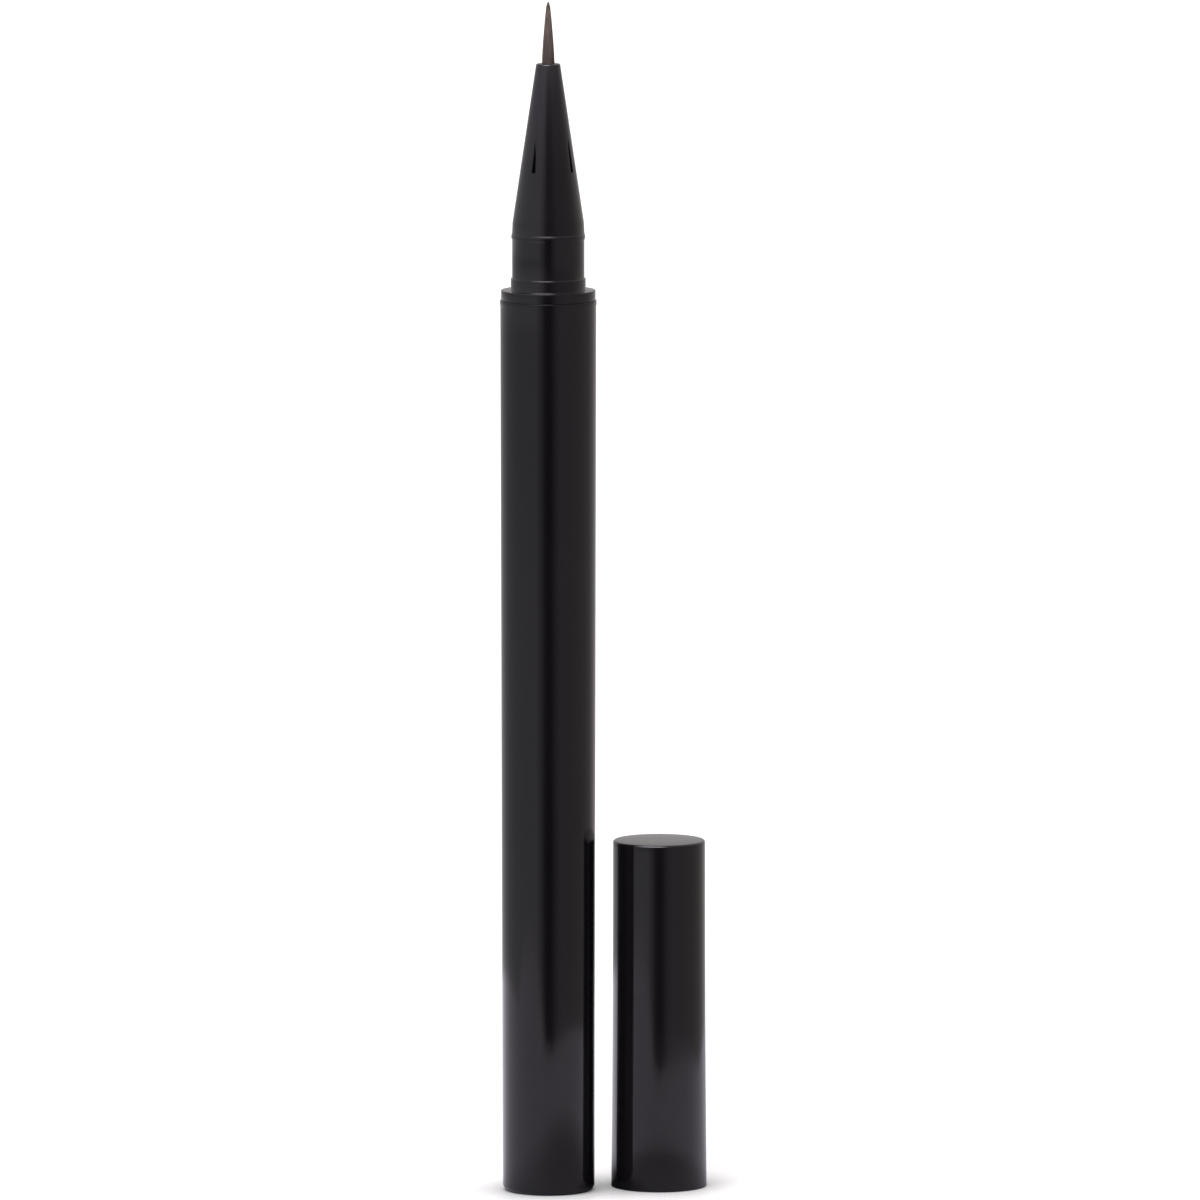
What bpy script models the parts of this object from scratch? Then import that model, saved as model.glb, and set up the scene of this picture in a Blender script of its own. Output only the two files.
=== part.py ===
"""A liquid eyeliner pen standing on its tail, with its cap taken off and standing beside it on its mouth.

The pen's axis is +Z and its tail rests on the plane z = 0. Lengths are in metres. It is a free-ink pen: a
tank in the barrel, a finned collector above it, and a feed rod that carries ink up to the brush in the
nose. The cap holds a sprung inner cap, which seals against the nose while the cap is on.
"""

import math

import bmesh
import bpy
from mathutils import Matrix, Vector

MM = 0.001

# Counts
OUTER_SIDES = 64
NOSE_SIDES = 48
INNER_SIDES = 32
COLLECTOR_SIDES = 24
ROD_SIDES = 16
CORNER_STEPS = 3
FILLET_STEPS = 4
BEAD_STEPS = 4
CAP_FLARE_STEPS = 5
SLOT_COUNT = 4
FIN_COUNT = 11
SPRING_TURNS = 4
SPRING_POINTS_PER_TURN = 9
BALL_SUBDIVISIONS = 3
STRAND_ROWS = 18

# Clearances
SEAM_GAP = 0.06 * MM  # between the barrel's mouth and the nose's flange
SEAT_GAP = 0.1 * MM  # between a piece and the face that it seats on
FIT_GAP = 0.1 * MM  # on the radius, between pieces pressed or slid into each other
TANK_GAP = 0.2 * MM  # on the radius, between the tank and the barrel
CUT_OVERRUN = 0.5 * MM

# Barrel
BARREL_LENGTH = 94.7 * MM
BARREL_TAIL_RADIUS = 4.865 * MM
BARREL_DRAFT = 0.195 * MM  # how much the radius grows from the tail to the mouth
BARREL_WALL = 0.75 * MM
BARREL_FLOOR = 1.2 * MM
BARREL_TAIL_FILLET = 0.5 * MM
BARREL_LIP_RISE = 0.04 * MM
BARREL_LIP_HEIGHT = 0.7 * MM
BARREL_LIP_ROUND = 0.06 * MM

# Nose, from its flange up to its tip
NOSE_SPIGOT_LENGTH = 10.0 * MM
NOSE_SPIGOT_WALL = 0.83 * MM
NOSE_FLANGE_SETBACK = 0.08 * MM  # how far the flange stays inside the barrel's mouth
NOSE_FLANGE_HEIGHT = 1.14 * MM
NOSE_FLANGE_ROUND = 0.08 * MM
NOSE_LEDGE_RISE = 0.3 * MM  # the inner ledge above the flange's underside
NOSE_NECK_RADIUS = 3.81 * MM
NOSE_NECK_WALL = 0.64 * MM
NOSE_NECK_HEIGHT = 4.0 * MM
NOSE_LAND_STEP = 0.14 * MM  # the land stands this much proud of the neck
NOSE_LAND_HEIGHT = 1.2 * MM
NOSE_LAND_CHAMFER = 0.12 * MM
NOSE_BEAD_STEP = 0.105 * MM
NOSE_BEAD_HEIGHT = 0.8 * MM
NOSE_CONE_STEP = 0.04 * MM  # the cone's base is this much smaller than the neck
NOSE_BLEND_HEIGHT = 1.0 * MM
NOSE_CONE_HEIGHT = 16.8 * MM
NOSE_TIP_RADIUS = 1.26 * MM
NOSE_TIP_ROUND = 0.1 * MM
NOSE_CHAMBER_REACH = 4.9 * MM  # above the cone's base, where the chamber has narrowed to the holder's bore
NOSE_SHOULDER_RISE = 9.4 * MM  # above the cone's base, where the brush's root seats

# Air slots in the cone
SLOT_RISE = 5.45 * MM
SLOT_LENGTH = 3.45 * MM
SLOT_FOOT_WIDTH = 0.46 * MM
SLOT_TOP_WIDTH = 0.16 * MM
SLOT_FIRST_ANGLE = math.radians(-121.5)

# Brush
BRUSH_RADIUS = 0.635 * MM
BRUSH_GAP = 0.085 * MM
BRUSH_LENGTH = 6.7 * MM  # out of the nose
BRUSH_FUSED_DEPTH = 0.4 * MM  # below the tip of the nose, where the strands begin
BRUSH_ROOT_THICKNESS = 0.5 * MM
STRAND_GAP = 0.014 * MM
BELLY_HEIGHT_SHARE = 0.43  # how far up the strands their lean steepens
BELLY_WIDTH_SHARE = 0.77  # how wide the brush still is there
CORE_END_SHARE = 0.23
RIM_END_SHARE = 0.34
SCATTER_SHARE = 0.04
SCATTER_STEP_SHARE = 0.618

# Feed
FEED_ROD_RADIUS = 0.5 * MM
FEED_ROD_REACH = 5.5 * MM  # below the collector, into the tank
HOLDER_RADIUS = 1.5 * MM
HOLDER_FLANGE_THICKNESS = 0.8 * MM
COLLECTOR_LENGTH = 25.76 * MM  # above its flange
COLLECTOR_STEM_WALL = 0.6 * MM
COLLECTOR_FLANGE_THICKNESS = 1.0 * MM
COLLECTOR_PLUG_LENGTH = 3.5 * MM
COLLECTOR_GAP = 0.15 * MM
FIN_THICKNESS = 0.6 * MM
FIN_SLIT_WIDTH = 0.3 * MM

# Tank
TANK_WALL = 0.6 * MM
TANK_FLOOR = 0.8 * MM
GASKET_THICKNESS = 0.8 * MM
MIXING_BALL_RADIUS = 1.5 * MM

# Cap
CAP_WALL = 0.585 * MM  # at the closed end
CAP_FLARE = 0.205 * MM  # how much the outer radius grows from the closed end to the mouth
CAP_END_WALL = 1.3 * MM
CAP_END_ROUND = 0.24 * MM
CAP_MOUTH_ROUND = 0.06 * MM
CAP_BAND_GAP = 0.065 * MM
CAP_BAND_HEIGHT = 1.3 * MM
CAP_BAND_RAMP = 0.3 * MM
CAP_SNAP_GAP = 0.04 * MM
CAP_SNAP_HEIGHT = 0.5 * MM
CAP_SNAP_RAMP = 0.35 * MM
CAP_BOSS_HEIGHT = 0.8 * MM
CAP_STAND_OFF = 1.85 * MM  # free space between the cap and the pen
CAP_BEARING = math.radians(13.05)  # from +X towards +Y, where the cap stands

# Inner cap and its spring
INNER_CAP_WALL = 0.4 * MM
INNER_CAP_END_WALL = 0.8 * MM
INNER_CAP_TRAVEL = 1.5 * MM
INNER_CAP_SPIGOT_HEIGHT = 1.0 * MM
INNER_CAP_MOUTH_CHAMFER = 0.15 * MM
BRUSH_ROOM = 1.5 * MM  # above the brush, with the inner cap at the end of its travel
SPRING_LENGTH = 4.3 * MM
SPRING_RADIUS = 2.0 * MM
SPRING_WIRE_RADIUS = 0.2 * MM
SPRING_SEAT_GAP = 0.3 * MM

# Radii that follow
BARREL_MOUTH_RADIUS = BARREL_TAIL_RADIUS + BARREL_DRAFT
BARREL_LIP_RADIUS = BARREL_MOUTH_RADIUS + BARREL_LIP_RISE
BORE_TAIL_RADIUS = BARREL_TAIL_RADIUS - BARREL_WALL
BORE_MOUTH_RADIUS = BARREL_MOUTH_RADIUS - BARREL_WALL
NOSE_FLANGE_RADIUS = BARREL_MOUTH_RADIUS - NOSE_FLANGE_SETBACK
NOSE_SPIGOT_RADIUS = BORE_MOUTH_RADIUS - FIT_GAP
NOSE_BORE_RADIUS = NOSE_SPIGOT_RADIUS - NOSE_SPIGOT_WALL
NOSE_CHAMBER_RADIUS = NOSE_NECK_RADIUS - NOSE_NECK_WALL
NOSE_LAND_RADIUS = NOSE_NECK_RADIUS + NOSE_LAND_STEP
NOSE_CONE_RADIUS = NOSE_NECK_RADIUS - NOSE_CONE_STEP
NOSE_HOLDER_BORE_RADIUS = HOLDER_RADIUS + FIT_GAP
NOSE_TIP_BORE_RADIUS = BRUSH_RADIUS + BRUSH_GAP
ROD_BORE_RADIUS = FEED_ROD_RADIUS + FIT_GAP
TANK_RADIUS = BORE_TAIL_RADIUS - TANK_GAP
TANK_BORE_RADIUS = TANK_RADIUS - TANK_WALL
FIN_RADIUS = NOSE_BORE_RADIUS - COLLECTOR_GAP
STEM_RADIUS = ROD_BORE_RADIUS + COLLECTOR_STEM_WALL
INNER_CAP_RADIUS = NOSE_CONE_RADIUS + INNER_CAP_WALL
CAP_BORE_RADIUS = INNER_CAP_RADIUS + FIT_GAP
CAP_END_RADIUS = CAP_BORE_RADIUS + CAP_WALL
CAP_MOUTH_RADIUS = CAP_END_RADIUS + CAP_FLARE
SPRING_SEAT_RADIUS = SPRING_RADIUS - SPRING_WIRE_RADIUS - SPRING_SEAT_GAP

# Heights on the nose, above its flange's underside
LAND_FOOT = NOSE_FLANGE_HEIGHT
NECK_FOOT = LAND_FOOT + NOSE_LAND_HEIGHT
BEAD_FOOT = NECK_FOOT + NOSE_NECK_HEIGHT
BEAD_TOP = BEAD_FOOT + NOSE_BEAD_HEIGHT
CONE_FOOT = BEAD_TOP + NOSE_BLEND_HEIGHT
NOSE_TIP = CONE_FOOT + NOSE_CONE_HEIGHT
NOSE_SHOULDER = CONE_FOOT + NOSE_SHOULDER_RISE

# Heights above the surface that the pen stands on
NOSE_FOOT_Z = BARREL_LENGTH + SEAM_GAP
NOSE_TIP_Z = NOSE_FOOT_Z + NOSE_TIP
BRUSH_ROOT_Z = NOSE_FOOT_Z + NOSE_SHOULDER - SEAT_GAP - BRUSH_ROOT_THICKNESS
HOLDER_Z = NOSE_FOOT_Z + NOSE_LEDGE_RISE - SEAT_GAP - HOLDER_FLANGE_THICKNESS
COLLECTOR_FLANGE_Z = HOLDER_Z - SEAT_GAP - COLLECTOR_LENGTH - COLLECTOR_FLANGE_THICKNESS
GASKET_Z = COLLECTOR_FLANGE_Z - SEAT_GAP - GASKET_THICKNESS
TANK_Z = BARREL_FLOOR + SEAT_GAP
TANK_LENGTH = GASKET_Z - SEAT_GAP - TANK_Z
ROD_Z = COLLECTOR_FLANGE_Z - COLLECTOR_PLUG_LENGTH - FEED_ROD_REACH
BALL_Z = TANK_Z + TANK_FLOOR + SEAT_GAP + MIXING_BALL_RADIUS

# Heights above the cap's mouth
SNAP_TOP = NOSE_LAND_HEIGHT + NOSE_NECK_HEIGHT - SEAT_GAP
INNER_CAP_Z = SNAP_TOP + SEAT_GAP
INNER_CAP_CEILING = NOSE_TIP - LAND_FOOT + BRUSH_LENGTH + BRUSH_ROOM - INNER_CAP_TRAVEL
SPRING_Z = INNER_CAP_CEILING + INNER_CAP_END_WALL + SEAT_GAP
CAP_CEILING = SPRING_Z + SPRING_LENGTH + SEAT_GAP
CAP_LENGTH = CAP_CEILING + CAP_END_WALL
CAP_DISTANCE = BARREL_LIP_RADIUS + CAP_MOUTH_RADIUS + CAP_STAND_OFF

FULL_TURN = math.tau
SMOOTH_ANGLE = math.radians(30)
WELD_DISTANCE = 1e-6 * MM

BLACK_GLOSS = (0.012, 0.012, 0.013, 1)
NATURAL_PLASTIC = (0.78, 0.79, 0.78, 1)
WHITE_PLASTIC = (0.85, 0.85, 0.84, 1)
SOFT_GREY = (0.3, 0.3, 0.31, 1)
FIBRE_BROWN = (0.075, 0.062, 0.052, 1)
ROD_INKED = (0.03, 0.027, 0.025, 1)
STEEL = (0.62, 0.62, 0.63, 1)


def clear_scene():
    for obj in list(bpy.data.objects):
        bpy.data.objects.remove(obj)


def material(name, colour, roughness, metallic=0.0):
    made = bpy.data.materials.new(name)
    made.use_nodes = True
    shader = made.node_tree.nodes["Principled BSDF"]
    shader.inputs["Base Color"].default_value = colour
    shader.inputs["Roughness"].default_value = roughness
    shader.inputs["Metallic"].default_value = metallic
    made.diffuse_color = colour
    return made


def empty(name, location):
    made = bpy.data.objects.new(name, None)
    made.location = location
    bpy.context.scene.collection.objects.link(made)
    return made


def add(name, mesh, finish, parent, height=0.0):
    """An object of this mesh, standing this high on its parent's axis."""
    obj = bpy.data.objects.new(name, mesh)
    obj.data.materials.append(finish)
    obj.parent = parent
    obj.location.z = height
    bpy.context.scene.collection.objects.link(obj)
    return obj


def finished(bm, name):
    """The mesh of a closed body, with its faces out, shaded smooth but for its real edges."""
    bmesh.ops.recalc_face_normals(bm, faces=bm.faces)
    mesh = bpy.data.meshes.new(name)
    bm.to_mesh(mesh)
    bm.free()
    mesh.shade_smooth()
    mesh.set_sharp_from_angle(angle=SMOOTH_ANGLE)
    return mesh


def turned(name, outline, sides, ring=False):
    """The body that an outline of (radius, height) points sweeps round the axis.

    A ring's outline closes on itself, clear of the axis.
    """
    bm = bmesh.new()
    corners = [bm.verts.new((radius, 0, height)) for radius, height in outline]
    ends = corners[1:] + corners[:1] if ring else corners[1:]
    edges = [bm.edges.new(pair) for pair in zip(corners, ends)]
    bmesh.ops.spin(
        bm,
        geom=corners + edges,
        cent=(0, 0, 0),
        axis=(0, 0, 1),
        angle=FULL_TURN,
        steps=sides,
        use_merge=True,
    )
    bmesh.ops.remove_doubles(bm, verts=bm.verts, dist=WELD_DISTANCE)
    return finished(bm, name)


def rounded(before, corner, after, radius, steps=CORNER_STEPS):
    """The points of a round corner, from the side of one neighbouring point to the side of the other."""
    middle = Vector(corner)
    back = (Vector(before) - middle).normalized()
    ahead = (Vector(after) - middle).normalized()
    half = back.angle(ahead) / 2
    centre = middle + (back + ahead).normalized() * (radius / math.sin(half))
    start = middle + back * (radius / math.tan(half)) - centre
    end = middle + ahead * (radius / math.tan(half)) - centre
    turn = start.angle_signed(end)
    turned_by = [-turn * step / steps for step in range(steps + 1)]
    return [tuple(centre + Matrix.Rotation(angle, 2) @ start) for angle in turned_by]


def between(low, high, share):
    return low + (high - low) * share


def barrel_radius(height):
    return between(BARREL_TAIL_RADIUS, BARREL_MOUTH_RADIUS, height / BARREL_LENGTH)


def cone_radius(rise):
    """The nose's outer radius this far above the cone's base."""
    return between(NOSE_CONE_RADIUS, NOSE_TIP_RADIUS, rise / NOSE_CONE_HEIGHT)


def barrel_mesh():
    """A closed tail with a small fillet, a slight draft, and a faint lip round the mouth."""
    lip_foot = BARREL_LENGTH - BARREL_LIP_HEIGHT
    tail_corner = (BARREL_TAIL_RADIUS, 0)
    lip_low = (barrel_radius(lip_foot), lip_foot)
    lip_corner = (BARREL_LIP_RADIUS, BARREL_LENGTH)
    bore_mouth = (BORE_MOUTH_RADIUS, BARREL_LENGTH)
    return turned(
        "barrel",
        [
            (0, 0),
            *rounded((0, 0), tail_corner, lip_low, BARREL_TAIL_FILLET, FILLET_STEPS),
            lip_low,
            *rounded(lip_low, lip_corner, bore_mouth, BARREL_LIP_ROUND),
            bore_mouth,
            (BORE_TAIL_RADIUS, BARREL_FLOOR),
            (0, BARREL_FLOOR),
        ],
        OUTER_SIDES,
    )


def bead_outline():
    """The seal bead's round back, from its foot on the neck to its top."""
    points = []
    for step in range(1, BEAD_STEPS + 1):
        share = step / BEAD_STEPS
        swell = math.sin(math.pi * share) * NOSE_BEAD_STEP
        base = between(NOSE_NECK_RADIUS, NOSE_CONE_RADIUS + NOSE_CONE_STEP, share)
        points.append((base + swell, between(BEAD_FOOT, BEAD_TOP, share)))
    return points


def nose_mesh():
    """The nose before its slots are cut: spigot, flange, land, neck, seal bead and cone, and its bores."""
    flange_low = (NOSE_FLANGE_RADIUS, 0)
    flange_corner = (NOSE_FLANGE_RADIUS, LAND_FOOT)
    land_foot = (NOSE_LAND_RADIUS, LAND_FOOT)
    cone_foot = (NOSE_CONE_RADIUS, CONE_FOOT)
    tip_corner = (NOSE_TIP_RADIUS, NOSE_TIP)
    tip_bore = (NOSE_TIP_BORE_RADIUS, NOSE_TIP)
    return turned(
        "nose_cone",
        [
            (NOSE_SPIGOT_RADIUS, -NOSE_SPIGOT_LENGTH),
            (NOSE_SPIGOT_RADIUS, 0),
            flange_low,
            *rounded(flange_low, flange_corner, land_foot, NOSE_FLANGE_ROUND),
            land_foot,
            (NOSE_LAND_RADIUS, NECK_FOOT - NOSE_LAND_CHAMFER),
            (NOSE_LAND_RADIUS - NOSE_LAND_CHAMFER, NECK_FOOT),
            (NOSE_NECK_RADIUS, NECK_FOOT),
            (NOSE_NECK_RADIUS, BEAD_FOOT),
            *bead_outline(),
            cone_foot,
            *rounded(cone_foot, tip_corner, tip_bore, NOSE_TIP_ROUND),
            tip_bore,
            (NOSE_TIP_BORE_RADIUS, NOSE_SHOULDER),
            (NOSE_HOLDER_BORE_RADIUS, NOSE_SHOULDER),
            (NOSE_HOLDER_BORE_RADIUS, CONE_FOOT + NOSE_CHAMBER_REACH),
            (NOSE_CHAMBER_RADIUS, BEAD_TOP),
            (NOSE_CHAMBER_RADIUS, NOSE_LEDGE_RISE),
            (NOSE_BORE_RADIUS, NOSE_LEDGE_RISE),
            (NOSE_BORE_RADIUS, -NOSE_SPIGOT_LENGTH),
        ],
        NOSE_SIDES,
        ring=True,
    )


def wedge(bm, foot_width, top_width, inner, outer, low, high, angle):
    """A closed wedge along the axis, standing out between two radii at this angle, narrower at its top."""
    made = bmesh.ops.create_cube(bm, size=1)["verts"]
    turn = Matrix.Rotation(angle, 3, "Z")
    for vert in made:
        upper = vert.co.z > 0
        width = top_width if upper else foot_width
        radius = outer if vert.co.x > 0 else inner
        vert.co = turn @ Vector((radius, vert.co.y * width, high if upper else low))


def cutter(name, bm, parent, height):
    """A hidden cutting body."""
    mesh = bpy.data.meshes.new(name)
    bm.to_mesh(mesh)
    bm.free()
    obj = bpy.data.objects.new(name, mesh)
    obj.parent = parent
    obj.location.z = height
    obj.hide_render = True
    obj.display_type = "WIRE"
    bpy.context.scene.collection.objects.link(obj)
    return obj


def cut(obj, tool):
    made = obj.modifiers.new("cut", "BOOLEAN")
    made.operation = "DIFFERENCE"
    made.object = tool


def slot_cutter(parent):
    """Slots whose floors run parallel to the axis, so they deepen towards their feet."""
    bm = bmesh.new()
    floor = cone_radius(SLOT_RISE + SLOT_LENGTH)
    foot = CONE_FOOT + SLOT_RISE
    for number in range(SLOT_COUNT):
        angle = SLOT_FIRST_ANGLE + FULL_TURN * number / SLOT_COUNT
        outer = cone_radius(SLOT_RISE) + CUT_OVERRUN
        top = foot + SLOT_LENGTH + CUT_OVERRUN
        wedge(bm, SLOT_FOOT_WIDTH, SLOT_TOP_WIDTH, floor, outer, foot, top, angle)
    return cutter("slot_cutter", bm, parent, NOSE_FOOT_Z)


def on_disc(across, along):
    """A point of the square from -1 to 1 carried onto the unit disc, with its cells kept equal in area."""
    if across == 0 and along == 0:
        return Vector((0, 0))
    if abs(across) > abs(along):
        radius, angle = across, math.pi / 4 * along / across
    else:
        radius, angle = along, math.pi / 2 - math.pi / 4 * across / along
    return Vector((math.cos(angle), math.sin(angle))) * radius


def pushed_rim(bm, rim, scale, height):
    """Draws the open rim out to a new one, scaled about the axis and set at this height, and returns it."""
    made = bmesh.ops.extrude_edge_only(bm, edges=rim)["geom"]
    for vert in made:
        if isinstance(vert, bmesh.types.BMVert):
            vert.co = (vert.co.x * scale, vert.co.y * scale, height)
    return [edge for edge in made if isinstance(edge, bmesh.types.BMEdge) and edge.is_boundary]


def strand_end(number, place):
    """How far short of the point where all strands would meet this one ends, as a share of that height."""
    reach = between(CORE_END_SHARE, RIM_END_SHARE, place.length / (BRUSH_RADIUS * BELLY_WIDTH_SHARE))
    return reach + SCATTER_SHARE * (number * SCATTER_STEP_SHARE % 1)


def brush_mesh():
    """Tapered fibres that lean together to a point, fused below the tip of the nose to one round bundle.

    The bundle has a wider root, which the nose's shoulder holds. The fibres lean a little up to the belly and
    more above it, which gives the brush its round shoulders. Each leans at its own distance from the axis and
    thins towards its end, so none crosses another.
    """
    bundle_top = NOSE_TIP_Z - BRUSH_FUSED_DEPTH - BRUSH_ROOT_Z
    strand_height = BRUSH_LENGTH + BRUSH_FUSED_DEPTH
    belly = bundle_top + strand_height * BELLY_HEIGHT_SHARE
    meeting_height = strand_height * (1 - BELLY_HEIGHT_SHARE) / (1 - CORE_END_SHARE)
    root_scale = (NOSE_HOLDER_BORE_RADIUS - FIT_GAP) / BRUSH_RADIUS
    bm = bmesh.new()
    bmesh.ops.create_grid(bm, x_segments=STRAND_ROWS, y_segments=STRAND_ROWS, size=1)
    for vert in bm.verts:
        flat = on_disc(vert.co.x, vert.co.y) * BRUSH_RADIUS
        vert.co = (flat.x, flat.y, bundle_top)
    cells = list(bm.faces)
    rim = [edge for edge in bm.edges if edge.is_boundary]
    rim = pushed_rim(bm, rim, 1, BRUSH_ROOT_THICKNESS)
    rim = pushed_rim(bm, rim, root_scale, BRUSH_ROOT_THICKNESS)
    rim = pushed_rim(bm, rim, 1, 0)
    bmesh.ops.edgeloop_fill(bm, edges=rim)
    bmesh.ops.inset_individual(bm, faces=cells, thickness=STRAND_GAP / 2)
    cells = bmesh.ops.extrude_discrete_faces(bm, faces=cells)["faces"]
    for cell in cells:
        for vert in cell.verts:
            vert.co = (vert.co.x * BELLY_WIDTH_SHARE, vert.co.y * BELLY_WIDTH_SHARE, belly)
    for number, tip in enumerate(bmesh.ops.poke(bm, faces=cells)["verts"]):
        place = Vector((tip.co.x, tip.co.y))
        end = strand_end(number, place)
        tip.co = (place.x * end, place.y * end, belly + meeting_height * (1 - end))
    return finished(bm, "brush_tip")


def holder_mesh():
    """The tube behind the brush: it holds the brush's root up and the feed rod straight."""
    top = BRUSH_ROOT_Z - SEAT_GAP - HOLDER_Z
    flange_radius = NOSE_BORE_RADIUS - FIT_GAP
    return turned(
        "brush_holder",
        [
            (ROD_BORE_RADIUS, 0),
            (flange_radius, 0),
            (flange_radius, HOLDER_FLANGE_THICKNESS),
            (HOLDER_RADIUS, HOLDER_FLANGE_THICKNESS),
            (HOLDER_RADIUS, top),
            (ROD_BORE_RADIUS, top),
        ],
        COLLECTOR_SIDES,
        ring=True,
    )


def collector_mesh():
    """A plug that closes the tank, a flange on the gasket, and a stem with fins all the way up."""
    plug_radius = TANK_BORE_RADIUS - FIT_GAP
    flange_top = COLLECTOR_FLANGE_THICKNESS
    pitch = COLLECTOR_LENGTH / (FIN_COUNT + 1)
    outline = [
        (ROD_BORE_RADIUS, -COLLECTOR_PLUG_LENGTH),
        (plug_radius, -COLLECTOR_PLUG_LENGTH),
        (plug_radius, 0),
        (TANK_RADIUS, 0),
        (TANK_RADIUS, flange_top),
        (STEM_RADIUS, flange_top),
    ]
    for number in range(1, FIN_COUNT + 1):
        low = flange_top + pitch * number
        high = low + FIN_THICKNESS
        outline += [(STEM_RADIUS, low), (FIN_RADIUS, low), (FIN_RADIUS, high), (STEM_RADIUS, high)]
    top = flange_top + COLLECTOR_LENGTH
    outline += [(STEM_RADIUS, top), (ROD_BORE_RADIUS, top)]
    return turned("collector", outline, COLLECTOR_SIDES, ring=True)


def fin_slit_cutter(parent):
    """One narrow slit down all the fins, through which ink spreads from gap to gap."""
    bm = bmesh.new()
    low = COLLECTOR_FLANGE_THICKNESS + FIN_THICKNESS
    high = COLLECTOR_FLANGE_THICKNESS + COLLECTOR_LENGTH - FIN_THICKNESS
    wedge(bm, FIN_SLIT_WIDTH, FIN_SLIT_WIDTH, STEM_RADIUS, FIN_RADIUS + CUT_OVERRUN, low, high, 0)
    return cutter("fin_slit_cutter", bm, parent, COLLECTOR_FLANGE_Z)


def rod_mesh():
    top = BRUSH_ROOT_Z - SEAT_GAP - ROD_Z
    return turned("feed_rod", [(0, 0), (FEED_ROD_RADIUS, 0), (FEED_ROD_RADIUS, top), (0, top)], ROD_SIDES)


def tank_mesh():
    return turned(
        "ink_tank",
        [
            (0, 0),
            (TANK_RADIUS, 0),
            (TANK_RADIUS, TANK_LENGTH),
            (TANK_BORE_RADIUS, TANK_LENGTH),
            (TANK_BORE_RADIUS, TANK_FLOOR),
            (0, TANK_FLOOR),
        ],
        INNER_SIDES,
    )


def gasket_mesh():
    return turned(
        "tank_gasket",
        [
            (TANK_BORE_RADIUS, 0),
            (TANK_RADIUS, 0),
            (TANK_RADIUS, GASKET_THICKNESS),
            (TANK_BORE_RADIUS, GASKET_THICKNESS),
        ],
        INNER_SIDES,
        ring=True,
    )


def ball_mesh():
    bm = bmesh.new()
    bmesh.ops.create_icosphere(bm, subdivisions=BALL_SUBDIVISIONS, radius=MIXING_BALL_RADIUS)
    return finished(bm, "mixing_ball")


def flare_outline():
    """The cap's outer wall between its ends, which widens faster the nearer it is to the mouth."""
    points = []
    for step in range(1, CAP_FLARE_STEPS):
        share = step / CAP_FLARE_STEPS
        points.append((CAP_END_RADIUS + CAP_FLARE * share * share, between(CAP_LENGTH, 0, share)))
    return points


def cap_mesh():
    """The outer cap, mouth down, with a band that centres it on the nose, a snap ring and a spring boss."""
    mouth_corner = (CAP_MOUTH_RADIUS, 0)
    end_corner = (CAP_END_RADIUS, CAP_LENGTH)
    flare = flare_outline()
    band_radius = NOSE_LAND_RADIUS + CAP_BAND_GAP
    snap_radius = NOSE_NECK_RADIUS + CAP_SNAP_GAP
    snap_low = SNAP_TOP - CAP_SNAP_RAMP - CAP_SNAP_HEIGHT
    return turned(
        "cap_shell",
        [
            (0, CAP_LENGTH),
            *rounded((0, CAP_LENGTH), end_corner, flare[0], CAP_END_ROUND),
            *flare,
            *rounded(flare[-1], mouth_corner, (band_radius, 0), CAP_MOUTH_ROUND),
            (band_radius, 0),
            (band_radius, CAP_BAND_HEIGHT),
            (CAP_BORE_RADIUS, CAP_BAND_HEIGHT + CAP_BAND_RAMP),
            (CAP_BORE_RADIUS, snap_low - CAP_SNAP_RAMP),
            (snap_radius, snap_low),
            (snap_radius, SNAP_TOP - CAP_SNAP_RAMP),
            (CAP_BORE_RADIUS, SNAP_TOP),
            (CAP_BORE_RADIUS, CAP_CEILING),
            (SPRING_SEAT_RADIUS, CAP_CEILING),
            (SPRING_SEAT_RADIUS, CAP_CEILING - CAP_BOSS_HEIGHT),
            (0, CAP_CEILING - CAP_BOSS_HEIGHT),
        ],
        OUTER_SIDES,
    )


def inner_cap_mesh():
    """The sealing cup, mouth down, with a spigot on its end that centres the spring."""
    ceiling = INNER_CAP_CEILING - INNER_CAP_Z
    top = ceiling + INNER_CAP_END_WALL
    return turned(
        "inner_cap",
        [
            (0, top + INNER_CAP_SPIGOT_HEIGHT),
            (SPRING_SEAT_RADIUS, top + INNER_CAP_SPIGOT_HEIGHT),
            (SPRING_SEAT_RADIUS, top),
            (INNER_CAP_RADIUS, top),
            (INNER_CAP_RADIUS, 0),
            (NOSE_CONE_RADIUS + INNER_CAP_MOUTH_CHAMFER, 0),
            (NOSE_CONE_RADIUS, INNER_CAP_MOUTH_CHAMFER),
            (NOSE_CONE_RADIUS, ceiling),
            (0, ceiling),
        ],
        INNER_SIDES,
    )


def helix_points():
    """The centre line of the spring's wire, from its foot to its top."""
    rise = SPRING_LENGTH - 2 * SPRING_WIRE_RADIUS
    count = SPRING_TURNS * SPRING_POINTS_PER_TURN
    points = []
    for step in range(count + 1):
        angle = FULL_TURN * step / SPRING_POINTS_PER_TURN
        flat = Vector((math.cos(angle), math.sin(angle), 0)) * SPRING_RADIUS
        points.append(flat + Vector((0, 0, SPRING_WIRE_RADIUS + rise * step / count)))
    return points


def least_gap(points):
    """The smallest free space between the wire's neighbouring turns."""
    gaps = []
    for index, point in enumerate(points):
        for other in points[index + SPRING_POINTS_PER_TURN // 2 :]:
            gaps.append((point - other).length - 2 * SPRING_WIRE_RADIUS)
    return min(gaps)


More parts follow.
